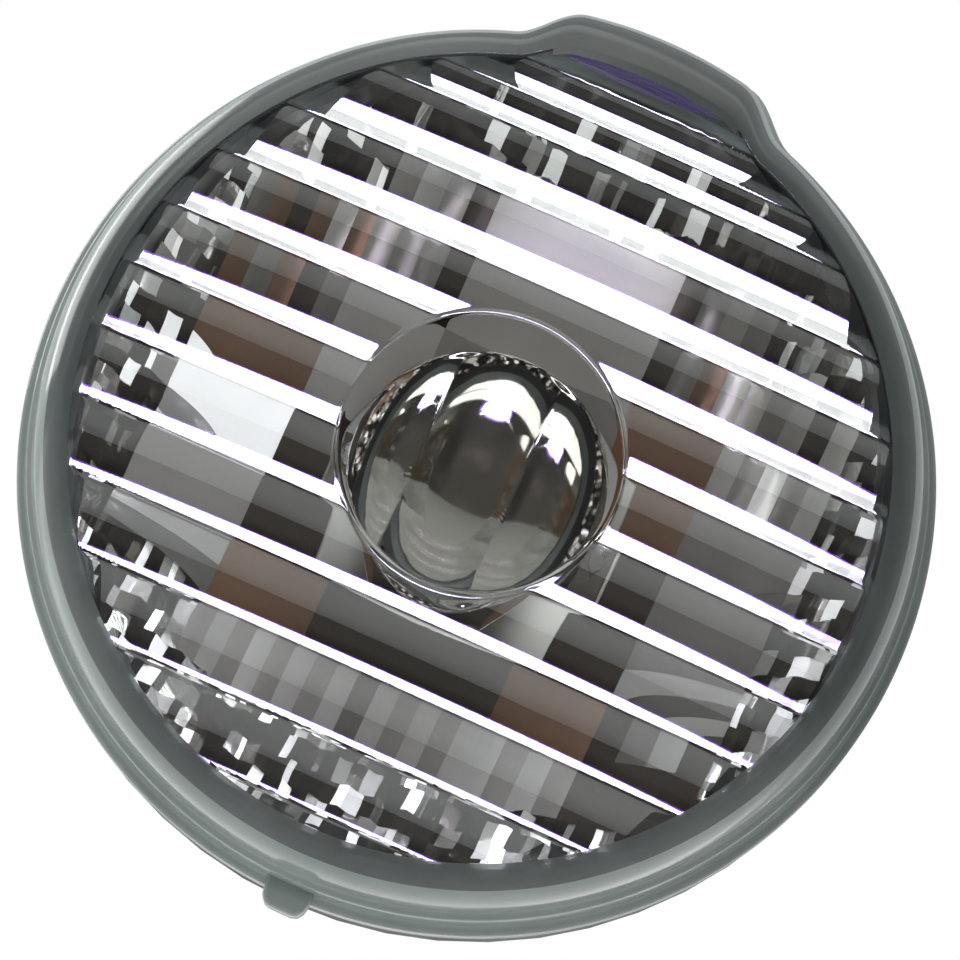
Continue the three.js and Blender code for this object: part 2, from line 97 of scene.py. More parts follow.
class Mat:
    def __init__(self, name):
        self.m = bpy.data.materials.new(name)
        self.m.use_nodes = True
        self.t = self.m.node_tree
        self.t.nodes.clear()
        self.out = self.t.nodes.new("ShaderNodeOutputMaterial")

    def n(self, kind, **props):
        node = self.t.nodes.new(kind)
        for k, v in props.items():
            if k in node.inputs.keys():
                node.inputs[k].default_value = v
            else:
                setattr(node, k, v)
        return node

    def link(self, a, b):
        self.t.links.new(a, b)

    def coords(self):
        return self.n("ShaderNodeTexCoord").outputs["Object"]

    def noise(self, scale, detail=4.0, rough=0.5, vec=None, stretch=None):
        c = vec or self.coords()
        if stretch:
            mp = self.n("ShaderNodeMapping")
            mp.inputs["Scale"].default_value = stretch
            self.link(c, mp.inputs["Vector"])
            c = mp.outputs[0]
        t = self.n("ShaderNodeTexNoise")
        t.inputs["Scale"].default_value = scale
        t.inputs["Detail"].default_value = detail
        t.inputs["Roughness"].default_value = rough
        self.link(c, t.inputs["Vector"])
        return t.outputs["Fac"]

    def ramp(self, fac, stops):
        r = self.n("ShaderNodeValToRGB")
        while len(r.color_ramp.elements) < len(stops):
            r.color_ramp.elements.new(0.5)
        for e, (pos, col) in zip(r.color_ramp.elements, stops):
            e.position = pos
            e.color = col if len(col) == 4 else (*col, 1.0)
        self.link(fac, r.inputs["Fac"])
        return r.outputs["Color"]

    def mapr(self, fac, a, b, lo=0.0, hi=1.0):
        r = self.n("ShaderNodeMapRange")
        r.inputs["From Min"].default_value = lo
        r.inputs["From Max"].default_value = hi
        r.inputs["To Min"].default_value = a
        r.inputs["To Max"].default_value = b
        self.link(fac, r.inputs["Value"])
        return r.outputs["Result"]

    def bump(self, height, strength=0.2, distance=0.0002, normal=None):
        b = self.n("ShaderNodeBump")
        b.inputs["Strength"].default_value = strength
        b.inputs["Distance"].default_value = distance
        self.link(height, b.inputs["Height"])
        if normal is not None:
            self.link(normal, b.inputs["Normal"])
        return b.outputs["Normal"]

    def principled(self, **kw):
        p = self.n("ShaderNodeBsdfPrincipled")
        for k, v in kw.items():
            p.inputs[k.replace("_", " ")].default_value = v
        self.link(p.outputs[0], self.out.inputs["Surface"])
        return p


def plastic(name, dark, light, rough=(0.42, 0.6), grain=900.0, grain_strength=0.25, coarse=60.0, spec=0.5, wear=0.0):
    """Moulded plastic: fine spark-eroded grain, faint cloudiness, paler worn edges."""
    m = Mat(name)
    cloud = m.noise(coarse, 5.0, 0.6)
    colour = m.ramp(cloud, [(0.3, dark), (0.7, light)])
    if wear > 0:
        geo = m.n("ShaderNodeNewGeometry")
        edge = m.mapr(geo.outputs["Pointiness"], 0.0, wear, 0.52, 0.6)
        mix = m.n("ShaderNodeMix", data_type="RGBA")
        m.link(edge, mix.inputs["Factor"])
        m.link(colour, mix.inputs[6])
        mix.inputs[7].default_value = (light[0] * 2.6 + 0.02, light[1] * 2.6 + 0.02, light[2] * 2.6 + 0.02, 1)
        colour = mix.outputs[2]
    p = m.principled()
    p.inputs["Specular IOR Level"].default_value = spec
    m.link(colour, p.inputs["Base Color"])
    m.link(m.mapr(m.noise(coarse * 3, 3.0), rough[0], rough[1]), p.inputs["Roughness"])
    fine = m.noise(grain, 3.0, 0.75)
    waviness = m.bump(m.noise(coarse * 0.8, 2.0), 0.10, 0.0006)
    m.link(m.bump(fine, grain_strength, 0.00022, waviness), p.inputs["Normal"])
    return m.m


def metal(name, a, b, rough=(0.22, 0.42), brush=(1, 1, 1), scale=500.0, strength=0.12):
    """Plated or drawn metal: fine directional brushing and uneven tarnish."""
    m = Mat(name)
    cloud = m.noise(220.0, 6.0, 0.65)
    p = m.principled(Metallic=1.0)
    m.link(m.ramp(cloud, [(0.3, a), (0.72, b)]), p.inputs["Base Color"])
    lines = m.noise(scale, 4.0, 0.7, stretch=brush)
    m.link(m.mapr(lines, rough[0], rough[1], 0.3, 0.7), p.inputs["Roughness"])
    m.link(m.bump(lines, strength, 0.00008), p.inputs["Normal"])
    return m.m


def rubber(name, a, b):
    m = Mat(name)
    p = m.principled()
    m.link(m.ramp(m.noise(140.0, 6.0, 0.6), [(0.3, a), (0.75, b)]), p.inputs["Base Color"])
    m.link(m.mapr(m.noise(300.0, 3.0), 0.6, 0.85), p.inputs["Roughness"])
    m.link(m.bump(m.noise(1300.0, 2.0), 0.2, 0.0001), p.inputs["Normal"])
    return m.m


def glass(name, tint, edge_tint, ior=1.49, rough=0.0, alpha_shadow=0.9, gloss=0.0):
    """Clear moulding: refracts, darkens a little with thickness, lets light in."""
    m = Mat(name)
    haze = m.noise(35.0, 3.0, 0.5)
    p = m.n("ShaderNodeBsdfPrincipled")
    p.inputs["Transmission Weight"].default_value = 1.0
    p.inputs["IOR"].default_value = ior
    p.inputs["Metallic"].default_value = 0.0
    m.link(m.ramp(haze, [(0.3, tint), (0.7, edge_tint)]), p.inputs["Base Color"])
    m.link(m.mapr(haze, rough, rough + 0.015), p.inputs["Roughness"])
    tr = m.n("ShaderNodeBsdfTransparent")
    tr.inputs["Color"].default_value = (alpha_shadow, alpha_shadow, alpha_shadow, 1)
    lp = m.n("ShaderNodeLightPath")
    mix = m.n("ShaderNodeMixShader")
    m.link(lp.outputs["Is Shadow Ray"], mix.inputs["Fac"])
    m.link(p.outputs[0], mix.inputs[1])
    m.link(tr.outputs[0], mix.inputs[2])
    shown = mix.outputs[0]
    if gloss > 0:
        gl = m.n("ShaderNodeBsdfGlossy")
        gl.inputs["Roughness"].default_value = 0.03
        gl.inputs["Color"].default_value = (1, 1, 1, 1)
        both = m.n("ShaderNodeMixShader")
        both.inputs["Fac"].default_value = gloss
        m.link(shown, both.inputs[1])
        m.link(gl.outputs[0], both.inputs[2])
        shown = both.outputs[0]
    m.link(shown, m.out.inputs["Surface"])
    return m.m


def tinted_rim(name, dark, light, through, rough=(0.08, 0.24)):
    """Thick edge of the clear moulding, which gathers a grey-green tint; the darker shoulder version is partly painted
    shade.
    """
    m = Mat(name)
    cloud = m.noise(45.0, 4.0, 0.55)
    streak = m.noise(120.0, 3.0, 0.5, stretch=(0.4, 3.0, 0.4))
    p = m.principled(Transmission_Weight=through, IOR=1.49, Metallic=0.0)
    m.link(m.ramp(cloud, [(0.32, dark), (0.68, light)]), p.inputs["Base Color"])
    m.link(m.mapr(streak, rough[0], rough[1], 0.3, 0.7), p.inputs["Roughness"])
    m.link(m.bump(streak, 0.05, 0.0003), p.inputs["Normal"])
    return m.m


# ---------------------------------------------------------------- materials

M_LENS = glass("lens_clear_glass", (0.86, 0.905, 0.89), (0.90, 0.935, 0.92), ior=1.27)
M_FLUTE = glass("lens_fluted_glass", (0.86, 0.905, 0.89), (0.90, 0.935, 0.92), ior=1.27, gloss=0.19)
M_RIM = tinted_rim("lens_edge", (0.33, 0.395, 0.38), (0.45, 0.52, 0.50), 0.30)
# Shoulder: the moulding's grey-green tint, painted darker as painted shade for the dark housing seen through it.
M_MARGIN = tinted_rim("lens_shoulder", (0.115, 0.137, 0.133), (0.175, 0.200, 0.195), 0.40)
M_BULB_GLASS = glass("bulb_hard_glass", (0.95, 0.96, 0.96), (0.98, 0.98, 0.98), ior=1.47)
M_HOUSING = plastic("housing_black_plastic", (0.010, 0.010, 0.011), (0.020, 0.020, 0.021), wear=0.35)
M_BRACKET = plastic("bracket_black_nylon", (0.014, 0.014, 0.015), (0.028, 0.028, 0.029), rough=(0.5, 0.68), grain=700.0, grain_strength=0.35, wear=0.4)
M_BULB_BASE = plastic("bulb_base_plastic", (0.030, 0.030, 0.034), (0.048, 0.048, 0.052), rough=(0.38, 0.55), wear=0.3)
M_NYLON = plastic("natural_nylon", (0.60, 0.58, 0.52), (0.74, 0.72, 0.67), rough=(0.38, 0.52), grain=500.0, grain_strength=0.12)
M_GREY_NYLON = plastic("grey_acetal", (0.30, 0.30, 0.29), (0.38, 0.38, 0.365), rough=(0.38, 0.5), grain=500.0, grain_strength=0.12)
M_ZINC = metal("zinc_plated_steel", (0.46, 0.45, 0.40), (0.68, 0.67, 0.62), scale=900.0)
M_COLLAR = metal("drawn_steel", (0.55, 0.54, 0.51), (0.74, 0.73, 0.70), rough=(0.15, 0.3), brush=(0.2, 8, 0.2))
M_WIRE = metal("wire_metal", (0.50, 0.49, 0.46), (0.70, 0.69, 0.66), rough=(0.2, 0.35))
M_BRASS = metal("tinned_brass", (0.60, 0.52, 0.34), (0.76, 0.70, 0.55), rough=(0.2, 0.38), brush=(1, 1, 6))
M_VENT = rubber("vent_rubber", (0.008, 0.008, 0.008), (0.018, 0.018, 0.018))
M_SEAL = rubber("seal_rubber", (0.006, 0.006, 0.006), (0.014, 0.014, 0.014))
M_ORING = rubber("o_ring_silicone", (0.22, 0.035, 0.015), (0.33, 0.06, 0.03))


def chrome_facets():
    """Vacuum-metallised plastic. Each facet's colour, a painted reflection, and its haze come from the mesh."""
    m = Mat("reflector_chrome")
    at = m.n("ShaderNodeAttribute", attribute_name="painted_tone")
    matte = at.outputs["Alpha"]
    ripple = m.noise(90.0, 2.0, 0.5)
    p = m.principled()
    mix = m.n("ShaderNodeMix", data_type="RGBA", blend_type="MULTIPLY")
    mix.inputs["Factor"].default_value = 1.0
    m.link(at.outputs["Color"], mix.inputs[6])
    m.link(m.ramp(ripple, [(0.3, (0.88, 0.87, 0.855)), (0.7, (1.0, 0.995, 0.985))]), mix.inputs[7])
    m.link(mix.outputs[2], p.inputs["Base Color"])
    m.link(m.mapr(matte, 1.0, 0.15), p.inputs["Metallic"])
    m.link(m.mapr(matte, 0.03, 0.33), p.inputs["Roughness"])
    m.link(m.bump(m.noise(130.0, 2.0, 0.5), 0.05, 0.0004), p.inputs["Normal"])
    return m.m


def chrome_shield():
    m = Mat("shield_chrome")
    p = m.principled(Metallic=1.0)
    sep = m.n("ShaderNodeSeparateXYZ")
    m.link(m.coords(), sep.inputs[0])
    # Painted reflection: the base colour darkens towards the bottom of the cap, standing for a darker ground mirrored
    # there.
    height = m.mapr(sep.outputs["Z"], 0.0, 1.0, -0.009, 0.006)
    mix = m.n("ShaderNodeMix", data_type="RGBA", blend_type="MULTIPLY")
    mix.inputs[0].default_value = 1.0
    m.link(m.ramp(m.noise(70.0, 3.0, 0.5), [(0.3, (0.76, 0.735, 0.715)), (0.7, (0.86, 0.835, 0.815))]), mix.inputs[6])
    m.link(m.ramp(height, [(0.0, (0.58, 0.555, 0.535)), (0.6, (0.90, 0.885, 0.87)), (1.0, (1.0, 1.0, 1.0))]), mix.inputs[7])
    m.link(mix.outputs[2], p.inputs["Base Color"])
    m.link(m.mapr(m.noise(200.0, 3.0), 0.06, 0.10), p.inputs["Roughness"])
    m.link(m.bump(m.noise(110.0, 2.0, 0.5), 0.04, 0.0004), p.inputs["Normal"])
    return m.m


M_CHROME = chrome_facets()
M_SHIELD = chrome_shield()


# ---------------------------------------------------------------- mesh helpers

def new_object(name, verts, faces, material, body, replaces=None, normals=None, smooth=True, painted_tone=None, indices=None):
    me = bpy.data.meshes.new(name)
    me.from_pydata([P(*v) for v in verts], [], faces)
    me.update()
    bm = bmesh.new()
    bm.from_mesh(me)
    if normals is None:
        bmesh.ops.recalc_face_normals(bm, faces=bm.faces)
    bm.to_mesh(me)
    bm.free()
    me.polygons.foreach_set("use_smooth", [smooth] * len(me.polygons))
    # This colour attribute carries painted reflections for the chrome.
    if painted_tone is not None:
        at = me.color_attributes.new(name="painted_tone", type="FLOAT_COLOR", domain="POINT")
        painted_tone = np.asarray(painted_tone, np.float32)
        flat = np.zeros((len(verts), 4), np.float32)
        flat[:, :painted_tone.shape[1]] = painted_tone
        at.data.foreach_set("color", flat.ravel())
    if normals is not None:
        me.normals_split_custom_set_from_vertices([tuple(n) for n in normals])
    for m in material if isinstance(material, (list, tuple)) else [material]:
        me.materials.append(m)
    if indices is not None:
        me.polygons.foreach_set("material_index", indices)
    ob = bpy.data.objects.new(name, me)
    scene.collection.objects.link(ob)
    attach(ob, body)
    if replaces:
        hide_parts(*([replaces] if isinstance(replaces, str) else replaces))
    return ob


def grid_faces(rows, cols, wrap=True, flip=False, start=0):
    out = []
    for i in range(rows - 1):
        for j in range(cols if wrap else cols - 1):
            a = start + i * cols + j
            b = start + i * cols + (j + 1) % cols
            c = start + (i + 1) * cols + (j + 1) % cols
            d = start + (i + 1) * cols + j
            out.append((a, d, c, b) if flip else (a, b, c, d))
    return out


def arc_points(points, radius=0.35, steps=3):
    """Rounds the corners of a turned profile."""
    out = []
    n = len(points)
    for i, (r, y) in enumerate(points):
        if i == 0 or i == n - 1:
            out.append((r, y))
            continue
        p0, p1, p2 = (np.array(points[k], float) for k in (i - 1, i, i + 1))
        a, b = p0 - p1, p2 - p1
        la, lb = np.linalg.norm(a), np.linalg.norm(b)
        if la < 1e-6 or lb < 1e-6:
            continue
        cosang = float(np.dot(a, b) / la / lb)
        if cosang < -0.97:
            out.append((r, y))
            continue
        d = min(radius, la * 0.4, lb * 0.4)
        s, e = p1 + a / la * d, p1 + b / lb * d
        for k in range(steps + 1):
            t = k / steps
            q = (1 - t) ** 2 * s + 2 * t * (1 - t) * p1 + t * t * e
            out.append((float(q[0]), float(q[1])))
    return out


def dome(r):
    return DOME_RISE * (r / 46.0) ** 2


# ---------------------------------------------------------------- lens

def lobe_amount(x, z):
    a = abs(math.degrees(math.atan2(x, z)))
    return 1.0 if a < 10.5 else 0.0 if a > 19.5 else 0.5 + 0.5 * math.cos((a - 10.5) / 9 * math.pi)


def build_lens():
    seg = 720
    outer = [(r, LENS_FRONT + dome(r)) for r in (0.01, 6, 12, 18, 24, 30, 36, 40, 43, 45.5, 46.6, 47.15)]
    shoulder = [(47.3, LENS_FRONT + dome(47.3)), (48.2, -15.5), (48.9, -15.15), (49.6, -14.6), (50.2, -13.85), (50.7, -12.9), (51.1, -11.8), (51.35, -10.7), (51.52, -9.5), (51.6, -8.6),
                (51.75, -6.0), (51.85, -5.35), (52.1, -5.1), (52.5, -4.95), (52.68, -4.7), (52.75, -3.2), (52.8, -1.0), (52.95, -0.62), (53.25, -0.48),
                (53.6, -0.42), (53.9, -0.2), (54.0, 0.1), (54.0, 2.7), (53.88, 2.93), (53.6, 3.0), (52.2, 3.0), (52.0, 3.15), (52.0, 6.3), (51.8, 6.5), (50.5, 6.5),
                (50.3, 6.3), (50.05, 0.2), (49.7, -3.0), (49.4, -6.0), (49.2, -8.4), (49.05, -10.2), (48.75, -11.5), (48.35, -12.2)]
    outer += shoulder
    verts, normals = [], []
    prof = outer
    # tangent of the turned profile gives its normal
    for i, (r, y) in enumerate(prof):
        r0, y0 = prof[max(0, i - 1)]
        r1, y1 = prof[min(len(prof) - 1, i + 1)]
        dr, dy = r1 - r0, y1 - y0
        ln = math.hypot(dr, dy)
        nr, ny = -dy / ln, dr / ln
        # outside of the solid is to the front along the crown
        nr, ny = -nr, -ny
        for j in range(seg):
            t = 2 * math.pi * j / seg
            sx, sz = math.sin(t), math.cos(t)
            x, z = r * sx, r * sz
            inner_side = i > prof.index((52.2, 3.0)) - 1
            if not inner_side:
                out = r + LOBE * lobe_amount(x, z) * smoothstep(43.0, 50.0, r)
                x, z = out * sx, out * sz
            verts.append((x, y, z))
            normals.append((nr * sx, ny, nr * sz))
    rows = len(prof)
    # inner fluted face, from the edge inward
    def inner_y(r, z):
        base = LENS_FRONT + LENS_WALL + dome(r)
        # the flutes above 4.5 pitches are half as wide
        scale = 0.5 if z > 4.5 * PITCH else 1.0
        pitch = PITCH * scale
        k = math.floor((z - 4.5 * PITCH) / pitch)
        d = z - 4.5 * PITCH - (k + 0.5) * pitch
        h = FLUTE_DEPTH * scale * (1 - (2 * d / pitch) ** 2)
        fade = smoothstep(CLEAR_R - 0.15, CLEAR_R + 0.35, r) * (1 - smoothstep(FLUTED_R - 0.6, FLUTED_R, r))
        ridge = 0.16 * math.exp(-((r - CLEAR_R - 0.1) / 0.28) ** 2)
        soft = min(1.0, (pitch / 2 - abs(d)) / (0.38 * scale))
        return base + h * fade + ridge, fade, d / scale * soft, r
    rings = [48.0, 47.6, 47.4, 47.2, 47.0] + list(np.arange(46.7, 17.4, -0.25)) + [17.3, 17.1, 16.95, 16.8, 16.65, 16.5, 16.35, 16.2, 16.05, 15.9, 15.6, 15.2, 13, 10, 7, 4, 2, 0.01]
    for r in rings:
        for j in range(seg):
            t = 2 * math.pi * j / seg
            out = r + LOBE * lobe_amount(math.sin(t), math.cos(t)) * smoothstep(43.0, 50.0, r)
            x, z = out * math.sin(t), out * math.cos(t)
            y, fade, d, _ = inner_y(r, z)
            slope = 2 * DOME_RISE * r / 46.0 ** 2 - 0.32 * (r - CLEAR_R - 0.1) / 0.28 ** 2 * math.exp(-((r - CLEAR_R - 0.1) / 0.28) ** 2)
            gx = slope * math.sin(t)
            gz = slope * math.cos(t) - FLUTE_DEPTH * 8 * d / PITCH ** 2 * fade
            ln = math.sqrt(gx * gx + 1 + gz * gz)
            verts.append((x, y, z))
            normals.append((-gx / ln, 1 / ln, -gz / ln))
    total = rows + len(rings)
    faces = grid_faces(total, seg, wrap=True)
    radii = [r for r, y in prof] + rings
    kind = []
    for i in range(total - 1):
        r = (radii[i] + radii[i + 1]) / 2
        inner = i >= rows
        k = 0 if r < FLUTED_R - 0.2 and not inner else 3 if r < 50.4 and i < 17 or inner and r > FLUTED_R - 0.3 else 1
        if inner and r <= FLUTED_R - 0.3:
            k = 2 if r > CLEAR_R else 0
        if not inner and 44 < r < FLUTED_R:
            # above the topmost flute the lobe is plain tinted moulding, with the shoulder's partly painted shade
            for j in range(seg):
                t = 2 * math.pi * (j + 0.5) / seg
                out = r + LOBE * lobe_amount(math.sin(t), math.cos(t)) * smoothstep(43.0, 50.0, r)
                kind.append(3 if out > 48.1 else k)
            continue
        kind.extend([k] * seg)
    made = []
    for name, kinds, mats in (("lens_glass", {0: 0, 2: 1}, [M_LENS, M_FLUTE]), ("lens_rim", {1: 0, 3: 1}, [M_RIM, M_MARGIN])):
        used, part, which = {}, [], []
        for f, k in zip(faces, kind):
            if k in kinds:
                part.append(tuple(used.setdefault(i, len(used)) for i in f))
                which.append(kinds[k])
        order = list(used)
        made.append(new_object(name, [verts[i] for i in order], part, mats, "lamp", replaces="lens" if not made else None,
                               normals=[normals[i] for i in order], indices=which))
    return made


build_lens()


def build_nub():
    prof = [(-2.9, -52.4), (-2.85, -54.0), (-2.6, -55.1), (-2.1, -55.75), (-1.4, -56.0), (1.4, -56.0), (2.1, -55.75), (2.6, -55.1), (2.85, -54.0), (2.9, -52.4)]
    ys = [-1.6, -1.45, -1.1, 2.5, 2.85, 3.0]
    ins = [0.45, 0.15, 0.0, 0.0, 0.15, 0.4]
    verts, faces = [], []
    for y, s in zip(ys, ins):
        for x, z in prof:
            f = 1 - s / 3
            verts.append((x * f, y, -52.4 + (z + 52.4) * f))
    n = len(prof)
    for i in range(len(ys) - 1):
        for j in range(n):
            a, b = i * n + j, i * n + (j + 1) % n
            faces.append((a, b, b + n, a + n))
    faces.append(tuple(range(n - 1, -1, -1)))
    faces.append(tuple(range((len(ys) - 1) * n, len(ys) * n)))
    return new_object("lens_nub", verts, faces, M_RIM, "lamp")


build_nub()


# ---------------------------------------------------------------- reflector

random.seed(11)
COLS = [-47.5, -38.7, -24.6, -12.2, 12.2, 24.6, 38.7, 47.5]
ROWS = [-47.5, -31.0, -21.6, -15.3, -10.2, -3.9, 4.1, 10.7, 19.0, 27.4, 35.3, 47.5]

# Painted reflections: these colours stand for what each chrome facet mirrors, and white stands for a blown-out
# highlight.
GREY = (0.26, 0.25, 0.236)
PALE = (0.42, 0.41, 0.395)
MID = (0.150, 0.142, 0.134)
BROWN = (0.125, 0.066, 0.036)
DARK = (0.022, 0.015, 0.011)
WHITE = (1.0, 1.0, 1.0)

# large facets: column, row -> how it is cut and its painted reflection colours
LARGE = {
    (1, 8): ("strips", [MID, BROWN, DARK, BROWN, PALE, BROWN]), (1, 7): ("strips", [BROWN, MID, BROWN, DARK, MID]), (1, 6): ("flat", BROWN),
    (1, 5): ("flat", WHITE), (1, 4): ("waves", WHITE), (1, 3): ("flat", GREY), (1, 2): ("waves", PALE),
    (2, 9): ("strips", [GREY, PALE, GREY, DARK]), (2, 8): ("strips", [GREY, GREY, GREY, DARK]), (2, 7): ("flat", GREY), (2, 6): ("flat", GREY),
    (2, 5): ("flat", DARK), (2, 4): ("flat", DARK), (2, 3): ("flat", DARK), (2, 2): ("flat", BROWN), (2, 1): ("strips", [GREY, PALE, GREY, PALE, GREY]),
    (3, 9): ("flat", PALE), (3, 8): ("flat", GREY), (3, 7): ("flat", MID), (3, 3): ("flat", MID), (3, 2): ("flat", DARK),
    (3, 6): ("flat", GREY), (3, 5): ("flat", GREY), (3, 4): ("flat", GREY),
    (3, 1): ("strips", [PALE, GREY, PALE, MID, PALE, GREY, PALE, GREY, PALE]),
    (4, 9): ("strips", [DARK, MID, GREY, MID]), (4, 8): ("strips", [DARK, MID, BROWN, PALE]), (4, 7): ("flat", BROWN), (4, 6): ("flat", BROWN),
    (4, 5): ("flat", DARK), (4, 4): ("flat", DARK), (4, 3): ("flat", DARK), (4, 2): ("flat", BROWN), (4, 1): ("strips", [PALE, GREY, PALE, GREY]),
    (5, 8): ("strips", [GREY, MID, GREY, DARK, PALE]), (5, 7): ("strips", [PALE, GREY, WHITE, GREY, PALE]), (5, 6): ("flat", MID),
    (5, 5): ("flat", MID), (5, 4): ("flat", MID), (5, 3): ("waves", PALE), (5, 2): ("strips", [DARK, MID, PALE, DARK]), (5, 1): ("flat", DARK),
}


def small_tone(x, z):
    """Painted reflection of one small facet: painted glints at the sides and bottom, mostly dark at the top."""
    u = random.random()
    bright = 0.16 if z > 30 else 0.30
    mid = 0.10 if z > 30 else 0.20
    if u < bright:
        return (1.0, 1.0, 1.0), random.choice([0.1, 0.3, 0.6, 1.0])
    if u < bright + mid:
        g = random.uniform(0.25, 0.6)
        return (g, g * 0.98, g * 0.95), random.uniform(0.0, 0.5)
    g = random.uniform(0.008, 0.06)
    return (g, g * 0.85, g * 0.75), random.uniform(0.0, 0.3)


def cell_table():
    """Every facet as its bounds, tilt, painted reflection colour, haze, divisions and bulge."""
    cells = []
    for ci in range(len(COLS) - 1):
        for ri in range(len(ROWS) - 1):
            x0, x1, z0, z1 = COLS[ci], COLS[ci + 1], ROWS[ri], ROWS[ri + 1]
            how = LARGE.get((ci, ri))
            if how is None:
                nz = max(1, round((z1 - z0) / 1.5))
                for b in range(nz):
                    x = x0
                    while x < x1 - 0.3:
                        w = random.uniform(0.6, 2.3)
                        nxt = x1 if x + w > x1 - 0.6 else x + w
                        box = (x, nxt, z0 + (z1 - z0) * b / nz, z0 + (z1 - z0) * (b + 1) / nz)
                        painted_tone, matte = small_tone((box[0] + box[1]) / 2, (box[2] + box[3]) / 2)
                        cells.append((box, (random.uniform(-0.3, 0.3), random.uniform(-0.3, 0.3)), painted_tone, matte, 2, 1.4))
                        x = nxt
                continue
            kind, tones = how
            if kind == "flat":
                cells.append(((x0, x1, z0, z1), (random.uniform(-0.03, 0.03), random.uniform(-0.03, 0.03)), tones, 1.0 if tones is WHITE else 0.62, 9, 0.25))
            elif kind == "strips":
                n = len(tones)
                for a, painted_tone in enumerate(tones):
                    box = (x0 + (x1 - x0) * a / n, x0 + (x1 - x0) * (a + 1) / n, z0, z1)
                    cells.append((box, (random.uniform(-0.08, 0.08), random.uniform(-0.03, 0.03)), painted_tone, 0.45, 5, 0.9))
            else:
                n = 5
                for b in range(n):
                    box = (x0, x1, z0 + (z1 - z0) * b / n, z0 + (z1 - z0) * (b + 1) / n)
                    g = 1.0 if b % 2 else 0.35
                    cells.append((box, (random.uniform(-0.04, 0.04), random.uniform(-0.1, 0.1)), tuple(c * g for c in tones), 0.5, 6, 1.2))
    return cells


CELLS = cell_table()


def bowl(r):
    return APEX - r * r / (4 * FOCUS)


def build_reflector():
    """Front of the bowl as patches, one per facet, joined by small steps."""
    verts, faces, tones = [], [], []
    for (x0, x1, z0, z1), tilt, painted_tone, matte, n, bulge in CELLS:
        cx, cz = (x0 + x1) / 2, (z0 + z1) / 2
        if min(math.hypot(a, b) for a in (x0, x1, max(x0, min(0, x1))) for b in (z0, z1, max(z0, min(0, z1)))) > RIM_R:
            continue
        idx = {}
        for i in range(n + 1):
            for j in range(n + 1):
                x = x0 + (x1 - x0) * i / n
                z = z0 + (z1 - z0) * j / n
                dx, dz = x - cx, z - cz
                y = bowl(math.hypot(x, z))
                y += tilt[0] * dx + tilt[1] * dz
                u, v = 2 * dx / (x1 - x0), 2 * dz / (z1 - z0)
                y += -bulge * (1 - u * u) * 0.5 * (x1 - x0) / 12 - bulge * (1 - v * v) * 0.5 * (z1 - z0) / 12
                if n == 2:
                    x, z = x + 0.10 * math.sin(1.9 * z + 0.4 * x), z + 0.10 * math.sin(1.7 * x + 1.1 - 0.3 * z)
                idx[i, j] = (x, y, z)
        for i in range(n):
            for j in range(n):
                quad = [idx[i, j], idx[i + 1, j], idx[i + 1, j + 1], idx[i, j + 1]]
                # cut to the ring between neck and rim
                quad = cut_radius(quad, RIM_R, keep_inside=True)
                quad = cut_radius(quad, NECK_R, keep_inside=False)
                if len(quad) < 3:
                    continue
                s = len(verts)
                verts.extend(quad)
                tones.extend([(*painted_tone, matte)] * len(quad))
                faces.append(tuple(range(s, s + len(quad))))
    return verts, faces, tones


def cut_radius(poly, radius, keep_inside):
    """Clips a small polygon to one side of a circle, edge by edge."""
    if not poly:
        return []
    out = []
    for k in range(len(poly)):
        a, b = poly[k], poly[(k + 1) % len(poly)]
        ra, rb = math.hypot(a[0], a[2]), math.hypot(b[0], b[2])
        ia, ib = (ra <= radius, rb <= radius) if keep_inside else (ra >= radius, rb >= radius)
        if ia:
            out.append(a)
        if ia != ib:
            t = (radius - ra) / (rb - ra)
            p = [a[q] + (b[q] - a[q]) * t for q in range(3)]
            f = radius / max(1e-6, math.hypot(p[0], p[2]))
            out.append((p[0] * f, p[1], p[2] * f))
    return out


def merge_verts(verts, faces, tones, eps=1e-3):
    table, remap, nv, nt = {}, [], [], []
    for v, t in zip(verts, tones):
        k = (round(v[0] / eps), round(v[1] / eps), round(v[2] / eps), t)
        if k not in table:
            table[k] = len(nv)
            nv.append(v)
            nt.append(t)
        remap.append(table[k])
    nf = []
    for f in faces:
        g = []
        for i in f:
            j = remap[i]
            if not g or g[-1] != j:
                g.append(j)
        if len(g) > 2 and g[0] == g[-1]:
            g.pop()
        if len(set(g)) > 2:
            nf.append(tuple(g))
    return nv, nf, nt


def build_reflector_object():
    verts, faces, tones = build_reflector()
    verts, faces, tones = merge_verts(verts, faces, tones)
    # steps between neighbouring facets: skirts behind every facet edge
    edge_count = {}
    for f in faces:
        for k in range(len(f)):
            e = tuple(sorted((f[k], f[(k + 1) % len(f)])))
            edge_count[e] = edge_count.get(e, 0) + 1
    rim = [e for e, c in edge_count.items() if c == 1]
    back = {}
    for a, b in rim:
        for q in (a, b):
            if q not in back:
                x, y, z = verts[q]
                back[q] = len(verts)
                verts.append((x, y + 1.0, z))
                tones.append(tones[q])
    for a, b in rim:
        faces.append((a, b, back[b], back[a]))
    me_ob = new_object("reflector_facets", verts, faces, M_CHROME, "lamp", replaces="reflector", smooth=True, painted_tone=np.array(tones, np.float32))
    me = me_ob.data
    me.set_sharp_from_angle(angle=math.radians(14))
    return me_ob


reflector = build_reflector_object()


